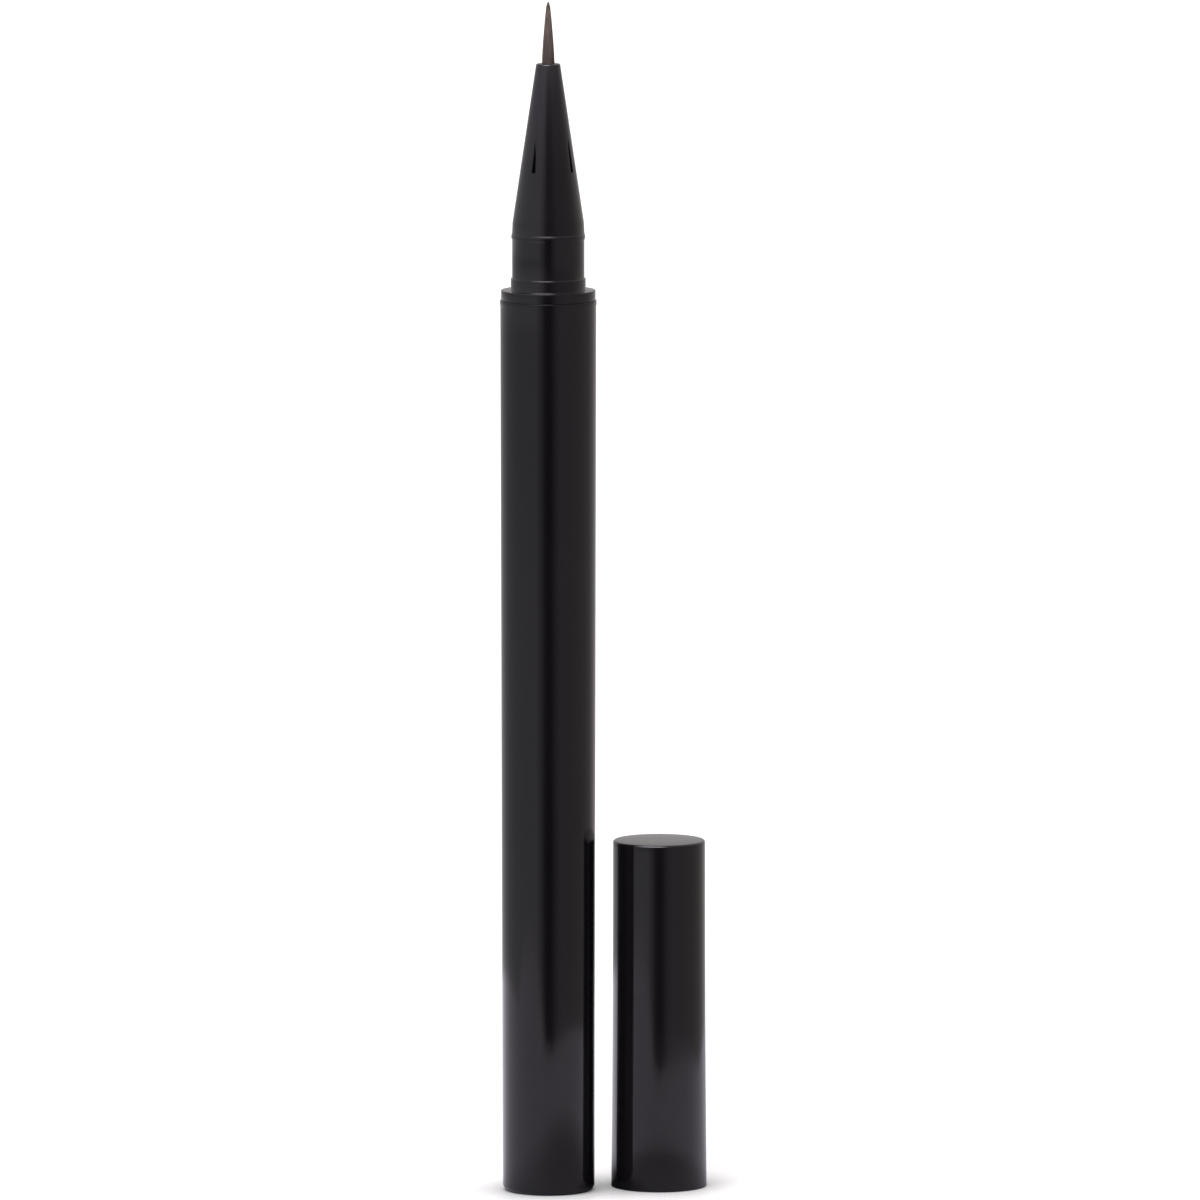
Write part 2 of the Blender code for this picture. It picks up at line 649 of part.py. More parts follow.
def spring_curve():
    points = helix_points()
    curve = bpy.data.curves.new("cap_spring", "CURVE")
    curve.dimensions = "3D"
    curve.bevel_depth = SPRING_WIRE_RADIUS
    curve.bevel_resolution = 1
    curve.use_fill_caps = True
    spline = curve.splines.new("POLY")
    spline.points.add(len(points) - 1)
    for place, point in zip(spline.points, points):
        place.co = (*point, 1)
    print(f"cap_spring: least gap between its turns {least_gap(points) / MM:.2f} mm")
    return curve


def build_pen(black, natural):
    pen = empty("pen_axis", (0, 0, 0))
    add("barrel", barrel_mesh(), black, pen)
    nose = add("nose_cone", nose_mesh(), black, pen, NOSE_FOOT_Z)
    cut(nose, slot_cutter(pen))
    add("brush_tip", brush_mesh(), material("brush_fibre", FIBRE_BROWN, 0.55), pen, BRUSH_ROOT_Z)
    add("brush_holder", holder_mesh(), natural, pen, HOLDER_Z)
    white = material("collector_white", WHITE_PLASTIC, 0.4)
    collector = add("collector", collector_mesh(), white, pen, COLLECTOR_FLANGE_Z)
    cut(collector, fin_slit_cutter(pen))
    add("feed_rod", rod_mesh(), material("inked_rod", ROD_INKED, 0.7), pen, ROD_Z)
    add("ink_tank", tank_mesh(), natural, pen, TANK_Z)
    add("tank_gasket", gasket_mesh(), material("gasket", SOFT_GREY, 0.6), pen, GASKET_Z)
    add("mixing_ball", ball_mesh(), material("ball_steel", STEEL, 0.15, 1.0), pen, BALL_Z)


def build_cap(black, natural):
    place = Vector((math.cos(CAP_BEARING), math.sin(CAP_BEARING), 0)) * CAP_DISTANCE
    cap = empty("cap_axis", place)
    add("cap_shell", cap_mesh(), black, cap)
    add("inner_cap", inner_cap_mesh(), natural, cap, INNER_CAP_Z)
    add("cap_spring", spring_curve(), material("spring_steel", STEEL, 0.25, 1.0), cap, SPRING_Z)


def main():
    clear_scene()
    black = material("gloss_black", BLACK_GLOSS, 0.12)
    natural = material("natural_plastic", NATURAL_PLASTIC, 0.45)
    build_pen(black, natural)
    build_cap(black, natural)


main()
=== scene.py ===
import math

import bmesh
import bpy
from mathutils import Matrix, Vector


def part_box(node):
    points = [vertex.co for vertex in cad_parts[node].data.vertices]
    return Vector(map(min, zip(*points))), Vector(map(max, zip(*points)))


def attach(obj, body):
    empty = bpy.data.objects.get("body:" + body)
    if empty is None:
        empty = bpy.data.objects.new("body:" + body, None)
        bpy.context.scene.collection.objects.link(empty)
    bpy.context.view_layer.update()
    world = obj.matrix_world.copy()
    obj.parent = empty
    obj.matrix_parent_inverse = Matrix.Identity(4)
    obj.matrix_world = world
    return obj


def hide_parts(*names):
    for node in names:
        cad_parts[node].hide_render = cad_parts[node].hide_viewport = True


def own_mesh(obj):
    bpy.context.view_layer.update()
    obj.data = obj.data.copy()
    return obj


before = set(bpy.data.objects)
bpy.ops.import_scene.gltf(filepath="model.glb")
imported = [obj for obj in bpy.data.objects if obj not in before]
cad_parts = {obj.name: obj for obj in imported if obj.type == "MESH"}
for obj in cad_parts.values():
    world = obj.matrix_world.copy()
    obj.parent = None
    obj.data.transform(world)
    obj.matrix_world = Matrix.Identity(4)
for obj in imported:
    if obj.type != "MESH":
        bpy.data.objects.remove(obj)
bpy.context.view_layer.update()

# A gloss black liquid eyeliner pen stands on its tail. Its cap has been taken off and stands beside it on its
# mouth. The barrel, nose, brush, cap, inner cap and spring are made again here with smooth walls. The tank,
# gasket, collector, feed rod, brush holder and ball keep the shapes of their solids, and get their finishes.

MM = 0.001

# Axes
PEN_AXIS = Vector((0, 0, 0))
CAP_LOW, CAP_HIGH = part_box("cap_shell")
CAP_AXIS = Vector(((CAP_LOW.x + CAP_HIGH.x) / 2, (CAP_LOW.y + CAP_HIGH.y) / 2, 0))

# How finely round pieces are made
WALL_SIDES = 160
ROUND_SEGMENTS = 5
WIDE_ROUND_SEGMENTS = 8
INNER_ROUND_SEGMENTS = 4
CREASE_SEGMENTS = 3
SEAM_SEGMENTS = 2
END_INSET_SHARE = 0.3
SMOOTH_ANGLE = math.radians(32)
WELD_DISTANCE = 0.0005 * MM
FIBRE_WELD_DISTANCE = 0.00001 * MM
PLACE_TOLERANCE = 0.004 * MM

# Barrel
BARREL_TOP = 94.7 * MM
BARREL_TAIL_RADIUS = 4.865 * MM
BARREL_MOUTH_RADIUS = 5.06 * MM
BARREL_LIP_RADIUS = 5.1 * MM
BARREL_LIP_HEIGHT = 0.7 * MM
BARREL_LIP_ROUND = 0.02 * MM
BARREL_TAIL_ROUND = 0.7 * MM
BARREL_WALL = 0.75 * MM
BARREL_FLOOR = 1.2 * MM
BARREL_RING_SHARES = (0.2, 0.4, 0.6, 0.8, 0.97, 1)
LIP_SWELL_SHARES = (0.2, 0.4, 0.6)

# Nose
NOSE_FOOT = 94.71 * MM
SPIGOT_FOOT = 84.76 * MM
SPIGOT_RADIUS = 4.21 * MM
SPIGOT_BORE = 3.38 * MM
FLANGE_RADIUS = 4.98 * MM
FLANGE_TOP = 95.78 * MM
FLANGE_ROUND = 0.04 * MM
LAND_RADIUS = 3.95 * MM
LAND_TOP = 97.05 * MM
LAND_ROUND = 0.07 * MM
NECK_RADIUS = 3.81 * MM
BEAD_FOOT = 101.04 * MM
BEAD_TOP = 101.84 * MM
BEAD_STEP = 0.088 * MM
BEAD_RINGS = 12
BEAD_FULLNESS = 1.2
CONE_FOOT = 102.9 * MM
CONE_RADIUS = 3.77 * MM
CONE_RING_SHARES = (0.03, 0.25, 0.5, 0.75)
NOSE_TIP = 119.7 * MM
NOSE_TIP_RADIUS = 1.26 * MM
NOSE_TIP_ROUND = 0.16 * MM
TIP_BORE = 0.72 * MM
SHOULDER = 112.3 * MM
HOLDER_BORE = 1.6 * MM
HOLDER_BORE_FOOT = 107.8 * MM
CHAMBER_RADIUS = 3.17 * MM
LEDGE = 95.06 * MM
CREASE_ROUND = 0.04 * MM
SEAM_ROUND = 0.012 * MM

# Air slots
SLOT_COUNT = 4
SLOT_FIRST_ANGLE = math.radians(-121.5)
SLOT_FOOT = 108.35 * MM
SLOT_TOP = 111.8 * MM
SLOT_FOOT_WIDTH = 0.46 * MM
SLOT_TOP_WIDTH = 0.16 * MM
SLOT_OVERRUN = 0.5 * MM
UPWARD = 0.9  # how steeply a face looks up that counts as a top

# Brush
BRUSH_RADIUS = 0.635 * MM
BRUSH_ROOT = 111.7 * MM
BRUSH_ROOT_TOP = 112.2 * MM
BRUSH_ROOT_RADIUS = 1.5 * MM
BUNDLE_TOP = 119.4 * MM
FIBRE_FOOT = 119.2 * MM
BRUSH_TIP = 126.33 * MM
FIBRE_COUNT = 620
FIBRE_SIDES = 5
FIBRE_RADIUS = 0.0225 * MM
FIBRE_REACH = 0.678 * MM
FIBRE_DROP = 0.5 * MM  # how much lower than the middle ones the outermost fibres end
FIBRE_SCATTER = 0.25 * MM
GOLDEN_ANGLE = math.pi * (3 - math.sqrt(5))
GOLDEN_SHARE = 0.618
# How wide the bundle still is, as shares, at these distances below its tip
BUNDLE_LEVELS = (5.4 * MM, 4.2 * MM, 3.1 * MM, 2.1 * MM, 1.3 * MM)
BUNDLE_WIDTH_SHARES = (0.9, 0.78, 0.65, 0.535, 0.42)
BUNDLE_END_WIDTH_SHARE = 0.31

# Cap, with heights above its mouth
CAP_MOUTH_RADIUS = 5.06 * MM
CAP_END_RADIUS = 4.88 * MM
CAP_LENGTH = 37.0 * MM
CAP_FLARE_SHARES = (0.02, 0.15, 0.3, 0.45, 0.6, 0.75, 0.88)
CAP_FLARE_POWER = 2
CAP_END_ROUND = 0.24 * MM
CAP_MOUTH_ROUND = 0.06 * MM
CAP_BAND_RADIUS = 4.015 * MM
CAP_BAND_TOP = 1.3 * MM
CAP_BORE = 4.27 * MM
CAP_BORE_FOOT = 1.6 * MM
SNAP_FOOT = 4.25 * MM
SNAP_TOP = 5.1 * MM
SNAP_RAMP = 0.35 * MM
SNAP_RADIUS = 3.85 * MM
CAP_CEILING = 35.8 * MM
BOSS_RADIUS = 1.5 * MM
BOSS_HEIGHT = 0.8 * MM

# Inner cap
INNER_FOOT = 5.2 * MM
INNER_CEILING = 30.5 * MM
INNER_TOP = 31.3 * MM
INNER_SPIGOT_TOP = 32.3 * MM
INNER_RADIUS = 4.17 * MM
INNER_BORE = 3.77 * MM
INNER_MOUTH_CHAMFER = 0.15 * MM
INNER_ROUND = 0.15 * MM

# Spring behind the inner cap
SPRING_FOOT = 31.4 * MM
SPRING_TOP = 35.7 * MM
SPRING_RADIUS = 2.0 * MM
SPRING_WIRE_RADIUS = 0.2 * MM
SPRING_TURNS = 4
SPRING_STEPS = 48
SPRING_WIRE_SIDES = 12

# Camera
FRAME_WIDTH = 126.6 * MM
CAMERA_DISTANCE = 1.7
CAMERA_TILT = math.radians(7)
CAMERA_TARGET = Vector((5.444 * MM, 0, 62.9 * MM))

# Finishes: where their patterns begin and end, and the tones that they colour between
PATTERN_SPAN = (0.3, 0.7)
PLASTIC_IOR = 1.5
BLACK_TONES = ((0.0033, 0.0030, 0.0034), (0.0050, 0.0045, 0.0052))
NATURAL_TONES = ((0.72, 0.735, 0.725), (0.81, 0.82, 0.81))
WHITE_TONES = ((0.80, 0.80, 0.79), (0.87, 0.87, 0.86))
GASKET_TONES = ((0.25, 0.25, 0.26), (0.34, 0.34, 0.35))
FIBRE_TONES = ((0.066, 0.0525, 0.0405), (0.138, 0.111, 0.085))
ROD_TONES = ((0.018, 0.016, 0.015), (0.045, 0.040, 0.037))
BALL_TONES = ((0.58, 0.58, 0.59), (0.66, 0.66, 0.67))
WIRE_TONES = ((0.54, 0.54, 0.53), (0.64, 0.64, 0.63))

# All bearings in degrees, and all heights of a direction
BEARING_SPAN = (-180, 180)
HEIGHT_SPAN = (-1, 1)

# Table, in metres
TABLE_SIZE = 3.0
# The middle, the radius and half the width of the soft edge of each painted pool of light on the table that
# the pieces mirror
TABLE_PAINTED_LIGHT_POOLS = (
    ((-0.024, 0.026, 0), 0.125, 0.009),
    ((-0.085, -0.075, 0), 0.072, 0.018),
    ((0.03, -0.01, 0), 0.085, 0.007),
)
# Painted light and shade on the mirrored table, by the angle in degrees round the pen from the camera's side,
# left and right
TABLE_PAINTED_LIGHT_TONES = (
    (-180, 0.62),
    (-152, 0.8),
    (-134, 0.78),
    (-116, 0.66),
    (-97, 0.6),
    (-77, 0.52),
    (-45, 0.46),
    (0, 0.43),
    (45, 0.46),
    (77, 0.5),
    (97, 0.56),
    (116, 0.57),
    (134, 0.6),
    (152, 0.42),
    (180, 0.62),
)
# A painted shadow makes it darker close in front of the feet, by the distance from this place
TABLE_PAINTED_SHADOW_CENTRE = (0.012, -0.016, 0)
TABLE_PAINTED_SHADOW = ((0.0, 0.42), (0.012, 0.5), (0.032, 1.0))
# Painted shade makes it darkest in the gap between them, by the distance from its middle
TABLE_GAP_SHADE_CENTRE = (0.0063, 0.0012, 0)
TABLE_GAP_PAINTED_SHADE = ((0.0, 0.06), (0.0028, 0.1), (0.0062, 1.0))
TABLE_SHADING_SPAN = (0, 0.1)
TABLE_TINT = (1.0, 1.0, 1.05)
# What the camera sees of it: the matt part that takes the shadows, and the plain light added to it
TABLE_SHADE = (0.47, 0.478, 0.455)
TABLE_GLOW = 0.92
# How far from a piece the table is darkened by painted contact shade, for its nearness
CONTACT_SHADE_REACH = 0.007
CONTACT_SHADE_SAMPLES = 2
# The table's own sheen, as a share of what the camera sees
SHEEN_LIMIT = 0.42
SHEEN_ROUGHNESS = 0.45

# Studio, with the brightness of its walls at table height by the angle in degrees from the camera's side,
# left and right
LOW_TONES = (
    (-180, 0.58),
    (-150, 0.5),
    (-115, 0.4),
    (-30, 0.44),
    (-17, 0.25),
    (-9, 0.07),
    (-4, 0.015),
    (5, 0.015),
    (10, 0.06),
    (18, 0.2),
    (30, 0.32),
    (115, 0.38),
    (135, 0.5),
    (152, 0.62),
    (180, 0.58),
)
# The same lower down, towards the table's far edge
DEEP_TONES = (
    (-180, 0.7),
    (-150, 0.68),
    (-134, 0.6),
    (-115, 0.52),
    (-45, 0.57),
    (-30, 0.58),
    (-17, 0.28),
    (-9, 0.07),
    (-4, 0.015),
    (5, 0.015),
    (10, 0.06),
    (18, 0.2),
    (30, 0.33),
    (115, 0.39),
    (135, 0.5),
    (152, 0.62),
    (180, 0.7),
)
# The same a little higher up
HIGH_TONES = (
    (-180, 0.53),
    (-115, 0.62),
    (-30, 0.66),
    (-17, 0.4),
    (-8, 0.12),
    (0, 0.04),
    (8, 0.05),
    (17, 0.12),
    (30, 0.22),
    (60, 0.27),
    (90, 0.34),
    (115, 0.55),
    (135, 0.65),
    (180, 0.53),
)
# Where each goes over into the next and into the even ceiling, by the height of the direction from -1 to 1
LOW_SHARE = ((-0.15, 0.0), (-0.105, 1.0))
HIGH_SHARE = ((-0.06, 0.0), (0.08, 1.0))
CEILING_SHARE = ((0.22, 0.0), (0.5, 1.0))
CEILING_TONE = 0.7
# The lamp in the ceiling, in front to the left
LAMP_BEARINGS = ((-72, 0.0), (-46, 1.0), (4, 1.0), (28, 0.0))
LAMP_HEIGHTS = ((0.42, 0.0), (0.56, 1.0), (0.93, 1.0), (0.99, 0.0))
LAMP_STRENGTH = 7.0
# The light is a little violet, cooler from the left and warmer from the right
STUDIO_TINTS = (
    (-180, (1.01, 0.975, 0.98)),
    (-90, (0.99, 0.965, 1.05)),
    (-20, (1.0, 0.955, 1.05)),
    (60, (1.06, 0.935, 1.0)),
    (120, (1.05, 0.98, 0.95)),
    (180, (1.01, 0.975, 0.98)),
)


# Shaping pieces by hand

def start_fresh():
    """Leaves edit mode and deselects everything."""
    if bpy.context.mode != "OBJECT":
        bpy.ops.object.mode_set(mode="OBJECT")
    bpy.ops.object.select_all(action="DESELECT")


def start_wall(name, axis, radius, height):
    """Adds a ring of edges round an upright axis, to be drawn out into a wall."""
    start_fresh()
    place = (axis.x, axis.y, height)
    bpy.ops.mesh.primitive_circle_add(vertices=WALL_SIDES, radius=radius, fill_type="NOTHING", location=place)
    piece = bpy.context.object
    piece.name = name
    piece.data.name = name
    bpy.ops.object.transform_apply(location=True, rotation=True, scale=True)
    bpy.ops.object.mode_set(mode="EDIT")
    bpy.ops.mesh.select_mode(type="EDGE")
    bpy.ops.mesh.select_all(action="SELECT")
    return piece


def draw_wall(axis, outline):
    """Draws the selected ring out through the (radius, height) corners of an outline, after its first."""
    for (radius, height), (next_radius, next_height) in zip(outline, outline[1:]):
        rise = next_height - height
        bpy.ops.mesh.extrude_region_move(TRANSFORM_OT_translate={"value": (0, 0, rise)})
        share = next_radius / radius
        middle = (axis.x, axis.y, next_height)
        bpy.ops.transform.resize(value=(share, share, 1), center_override=middle)


def pick_rings(piece, axis, corners):
    """Selects the rings of edges that lie at these (radius, height) corners."""
    bpy.ops.mesh.select_all(action="DESELECT")
    mesh = bmesh.from_edit_mesh(piece.data)
    for edge in mesh.edges:
        edge.select = any(all(lies_at(vert, axis, corner) for vert in edge.verts) for corner in corners)
    bmesh.update_edit_mesh(piece.data)


def lies_at(vert, axis, corner):
    """Whether a point of the piece lies at a (radius, height) corner."""
    radius, height = corner
    reach = math.hypot(vert.co.x - axis.x, vert.co.y - axis.y)
    return abs(reach - radius) < PLACE_TOLERANCE and abs(vert.co.z - height) < PLACE_TOLERANCE


def round_corners(piece, axis, corners, size, segments=ROUND_SEGMENTS):
    """Rounds the edges at these corners of a wall."""
    pick_rings(piece, axis, corners)
    bpy.ops.mesh.bevel(offset=size, segments=segments, profile=0.5, affect="EDGES", clamp_overlap=True)


def close_ends(piece, axis, corners):
    """Closes the open rings at these corners with a flat end, drawn in to a small middle."""
    for corner in corners:
        pick_rings(piece, axis, [corner])
        radius, height = corner
        bpy.ops.mesh.extrude_region_move(TRANSFORM_OT_translate={"value": (0, 0, 0)})
        inset = (END_INSET_SHARE, END_INSET_SHARE, 1)
        bpy.ops.transform.resize(value=inset, center_override=(axis.x, axis.y, height))
        bpy.ops.mesh.extrude_region_move(TRANSFORM_OT_translate={"value": (0, 0, 0)})
        bpy.ops.mesh.merge(type="CENTER")


def join_ends(piece, axis, corners):
    """Bridges the two open rings of a wall that comes back to its start."""
    pick_rings(piece, axis, corners)
    bpy.ops.mesh.bridge_edge_loops()


def close_holes():
    """Closes each open ring of the piece in edit mode with a face."""
    bpy.ops.mesh.select_all(action="SELECT")
    bpy.ops.mesh.fill_holes(sides=0)


def finish_piece(piece, weld=WELD_DISTANCE):
    """Merges doubles, turns the faces outwards and shades the piece smooth but for its real edges."""
    if bpy.context.mode != "EDIT_MESH":
        bpy.ops.object.mode_set(mode="EDIT")
    bpy.ops.mesh.select_all(action="SELECT")
    bpy.ops.mesh.remove_doubles(threshold=weld)
    bpy.ops.mesh.normals_make_consistent(inside=False)
    bpy.ops.object.mode_set(mode="OBJECT")
    bpy.ops.object.shade_smooth_by_angle(angle=SMOOTH_ANGLE)
    bpy.ops.object.select_all(action="DESELECT")


# The pieces

def barrel_radius(height):
    """The barrel's radius at a height, with its draft."""
    return BARREL_TAIL_RADIUS + (BARREL_MOUTH_RADIUS - BARREL_TAIL_RADIUS) * height / BARREL_TOP


def make_barrel():
    """The outer barrel: a closed tail, a slight draft, and a faint lip that swells round the mouth."""
    lip_foot = BARREL_TOP - BARREL_LIP_HEIGHT
    lip_step = BARREL_LIP_RADIUS - barrel_radius(lip_foot)
    tail = (BARREL_TAIL_RADIUS, 0)
    lip = (BARREL_LIP_RADIUS, BARREL_TOP)
    bore_mouth = (BARREL_MOUTH_RADIUS - BARREL_WALL, BARREL_TOP)
    bore_foot = (BARREL_TAIL_RADIUS - BARREL_WALL, BARREL_FLOOR)
    outline = [tail]
    for share in BARREL_RING_SHARES:
        outline.append((barrel_radius(lip_foot * share), lip_foot * share))
    for share in LIP_SWELL_SHARES:
        swell = (1 - math.cos(math.pi * share / LIP_SWELL_SHARES[-1])) / 2
        outline.append((barrel_radius(lip_foot) + lip_step * swell, lip_foot + BARREL_LIP_HEIGHT * share))
    outline += [lip, bore_mouth, bore_foot]
    piece = start_wall("barrel_shell", PEN_AXIS, *tail)
    draw_wall(PEN_AXIS, outline)
    close_ends(piece, PEN_AXIS, [tail, bore_foot])
    round_corners(piece, PEN_AXIS, [tail], BARREL_TAIL_ROUND, WIDE_ROUND_SEGMENTS)
    round_corners(piece, PEN_AXIS, [lip], BARREL_LIP_ROUND)
    round_corners(piece, PEN_AXIS, [bore_mouth], CREASE_ROUND, SEAM_SEGMENTS)
    finish_piece(piece)
    return piece


def bead_outline():
    """The seal bead: a round swelling at the neck's top that flattens out into the cone's foot."""
    corners = []
    for step in range(1, BEAD_RINGS):
        share = step / BEAD_RINGS
        swell = math.sin(math.pi * share) ** BEAD_FULLNESS * BEAD_STEP
        corners.append((NECK_RADIUS + swell, BEAD_FOOT + (BEAD_TOP - BEAD_FOOT) * share))
    return corners


def make_nose():
    """The nose, turned from its spigot's foot up to its tip and back down its bores, with four air slots."""
    spigot_foot = (SPIGOT_RADIUS, SPIGOT_FOOT)
    flange_foot = (FLANGE_RADIUS, NOSE_FOOT)
    flange_top = (FLANGE_RADIUS, FLANGE_TOP)
    land_foot = (LAND_RADIUS, FLANGE_TOP)
    land_top = (LAND_RADIUS, LAND_TOP)
    neck_foot = (NECK_RADIUS, LAND_TOP)
    cone_foot = (CONE_RADIUS, CONE_FOOT)
    tip = (NOSE_TIP_RADIUS, NOSE_TIP)
    tip_bore = (TIP_BORE, NOSE_TIP)
    cone = []
    for share in CONE_RING_SHARES:
        radius = CONE_RADIUS + (NOSE_TIP_RADIUS - CONE_RADIUS) * share
        cone.append((radius, CONE_FOOT + (NOSE_TIP - CONE_FOOT) * share))
    bore_foot = (SPIGOT_BORE, SPIGOT_FOOT)
    outline = [spigot_foot, (SPIGOT_RADIUS, NOSE_FOOT), flange_foot, flange_top, land_foot, land_top]
    outline += [neck_foot, (NECK_RADIUS, BEAD_FOOT), *bead_outline(), (NECK_RADIUS, BEAD_TOP)]
    outline += [cone_foot, *cone, tip]
    outline += [tip_bore, (TIP_BORE, SHOULDER), (HOLDER_BORE, SHOULDER), (HOLDER_BORE, HOLDER_BORE_FOOT)]
    outline += [(CHAMBER_RADIUS, BEAD_TOP), (CHAMBER_RADIUS, LEDGE), (SPIGOT_BORE, LEDGE), bore_foot]
    piece = start_wall("nose_body", PEN_AXIS, *spigot_foot)
    draw_wall(PEN_AXIS, outline)
    join_ends(piece, PEN_AXIS, [spigot_foot, bore_foot])
    round_corners(piece, PEN_AXIS, [flange_top], FLANGE_ROUND)
    round_corners(piece, PEN_AXIS, [flange_foot], SEAM_ROUND, SEAM_SEGMENTS)
    round_corners(piece, PEN_AXIS, [land_foot, neck_foot], CREASE_ROUND, CREASE_SEGMENTS)
    round_corners(piece, PEN_AXIS, [land_top], LAND_ROUND)
    round_corners(piece, PEN_AXIS, [tip], NOSE_TIP_ROUND)
    finish_piece(piece)
    cut_slots(piece)
    return piece


def make_slot_cutter(number):
    """A wedge that stands out from the cone, narrower at its top, with its inner face upright."""
    start_fresh()
    slope = (NOSE_TIP_RADIUS - CONE_RADIUS) / (NOSE_TIP - CONE_FOOT)
    floor = CONE_RADIUS + slope * (SLOT_TOP - CONE_FOOT)
    outer = CONE_RADIUS + slope * (SLOT_FOOT - CONE_FOOT) + SLOT_OVERRUN
    top = SLOT_TOP + SLOT_OVERRUN
    size = (outer - floor, SLOT_FOOT_WIDTH, top - SLOT_FOOT)
    place = ((outer + floor) / 2, 0, (top + SLOT_FOOT) / 2)
    bpy.ops.mesh.primitive_cube_add(size=1, location=place)
    tool = bpy.context.object
    tool.scale = size
    bpy.ops.object.transform_apply(location=True, rotation=False, scale=True)
    bpy.ops.object.mode_set(mode="EDIT")
    bpy.ops.mesh.select_all(action="DESELECT")
    mesh = bmesh.from_edit_mesh(tool.data)
    for face in mesh.faces:
        face.select = face.normal.z > UPWARD
    bmesh.update_edit_mesh(tool.data)
    narrowing = SLOT_TOP_WIDTH / SLOT_FOOT_WIDTH
    bpy.ops.transform.resize(value=(1, narrowing, 1), center_override=(0, 0, top))
    bpy.ops.object.mode_set(mode="OBJECT")
    tool.rotation_euler.z = SLOT_FIRST_ANGLE + math.tau * number / SLOT_COUNT
    bpy.ops.object.transform_apply(location=False, rotation=True, scale=False)
    return tool


def cut_slots(piece):
    """Cuts the four air slots into the cone."""
    for number in range(SLOT_COUNT):
        tool = make_slot_cutter(number)
        cut = piece.modifiers.new("air_slot", "BOOLEAN")
        cut.operation = "DIFFERENCE"
        cut.object = tool
        start_fresh()
        bpy.context.view_layer.objects.active = piece
        piece.select_set(True)
        bpy.ops.object.modifier_apply(modifier=cut.name)
        bpy.data.objects.remove(tool)
    bpy.ops.object.shade_smooth_by_angle(angle=SMOOTH_ANGLE)
    bpy.ops.object.select_all(action="DESELECT")


def make_cap():
    """The outer cap, mouth down, with its band, its snap ring and the boss that centres the spring."""
    end = (CAP_END_RADIUS, CAP_LENGTH)
    mouth = (CAP_MOUTH_RADIUS, 0)
    band_foot = (CAP_BAND_RADIUS, 0)
    boss_end = (BOSS_RADIUS, CAP_CEILING - BOSS_HEIGHT)
    wall = []
    for share in CAP_FLARE_SHARES:
        radius = CAP_END_RADIUS + (CAP_MOUTH_RADIUS - CAP_END_RADIUS) * share ** CAP_FLARE_POWER
        wall.append((radius, CAP_LENGTH * (1 - share)))
    outline = [end, *wall, mouth, band_foot, (CAP_BAND_RADIUS, CAP_BAND_TOP), (CAP_BORE, CAP_BORE_FOOT)]
    outline += [(CAP_BORE, SNAP_FOOT - SNAP_RAMP), (SNAP_RADIUS, SNAP_FOOT)]
    outline += [(SNAP_RADIUS, SNAP_TOP - SNAP_RAMP), (CAP_BORE, SNAP_TOP)]
    outline += [(CAP_BORE, CAP_CEILING), (BOSS_RADIUS, CAP_CEILING), boss_end]
    piece = start_wall("cap_body", CAP_AXIS, *end)
    draw_wall(CAP_AXIS, outline)
    close_ends(piece, CAP_AXIS, [end, boss_end])
    round_corners(piece, CAP_AXIS, [end], CAP_END_ROUND, WIDE_ROUND_SEGMENTS)
    round_corners(piece, CAP_AXIS, [mouth, band_foot], CAP_MOUTH_ROUND, CREASE_SEGMENTS)
    finish_piece(piece)
    return piece


def make_inner_cap():
    """The sealing cup, mouth down, with the spigot on its end that the spring sits on."""
    spigot_end = (BOSS_RADIUS, INNER_SPIGOT_TOP)
    shoulder = (INNER_RADIUS, INNER_TOP)
    ceiling = (INNER_BORE, INNER_CEILING)
    outline = [spigot_end, (BOSS_RADIUS, INNER_TOP), shoulder, (INNER_RADIUS, INNER_FOOT)]
    outline += [(INNER_BORE + INNER_MOUTH_CHAMFER, INNER_FOOT)]
    outline += [(INNER_BORE, INNER_FOOT + INNER_MOUTH_CHAMFER), ceiling]
    piece = start_wall("sealing_cup_body", CAP_AXIS, *spigot_end)
    draw_wall(CAP_AXIS, outline)
    close_ends(piece, CAP_AXIS, [spigot_end, ceiling])
    round_corners(piece, CAP_AXIS, [spigot_end, shoulder, ceiling], INNER_ROUND, INNER_ROUND_SEGMENTS)
    finish_piece(piece)
    return piece


def make_spring():
    """The coil behind the inner cap: a ring of wire wound up round the cap's axis, with its ends closed."""
    start_fresh()
    place = (SPRING_RADIUS, 0, SPRING_FOOT + SPRING_WIRE_RADIUS)
    upright = (math.pi / 2, 0, 0)
    bpy.ops.mesh.primitive_circle_add(
        vertices=SPRING_WIRE_SIDES, radius=SPRING_WIRE_RADIUS, location=place, rotation=upright
    )
    piece = bpy.context.object
    piece.name = "spring_coil"
    piece.data.name = "spring_coil"
    bpy.ops.object.transform_apply(location=True, rotation=True, scale=True)
    winding = piece.modifiers.new("winding", "SCREW")
    winding.axis = "Z"
    winding.angle = math.tau
    winding.iterations = SPRING_TURNS
    winding.screw_offset = (SPRING_TOP - SPRING_FOOT - 2 * SPRING_WIRE_RADIUS) / SPRING_TURNS
    winding.steps = SPRING_STEPS
    winding.render_steps = SPRING_STEPS
    winding.use_merge_vertices = False
    bpy.ops.object.modifier_apply(modifier=winding.name)
    piece.location = CAP_AXIS
    bpy.ops.object.transform_apply(location=True, rotation=False, scale=False)
    bpy.ops.object.mode_set(mode="EDIT")
    close_holes()
    finish_piece(piece)
    return piece


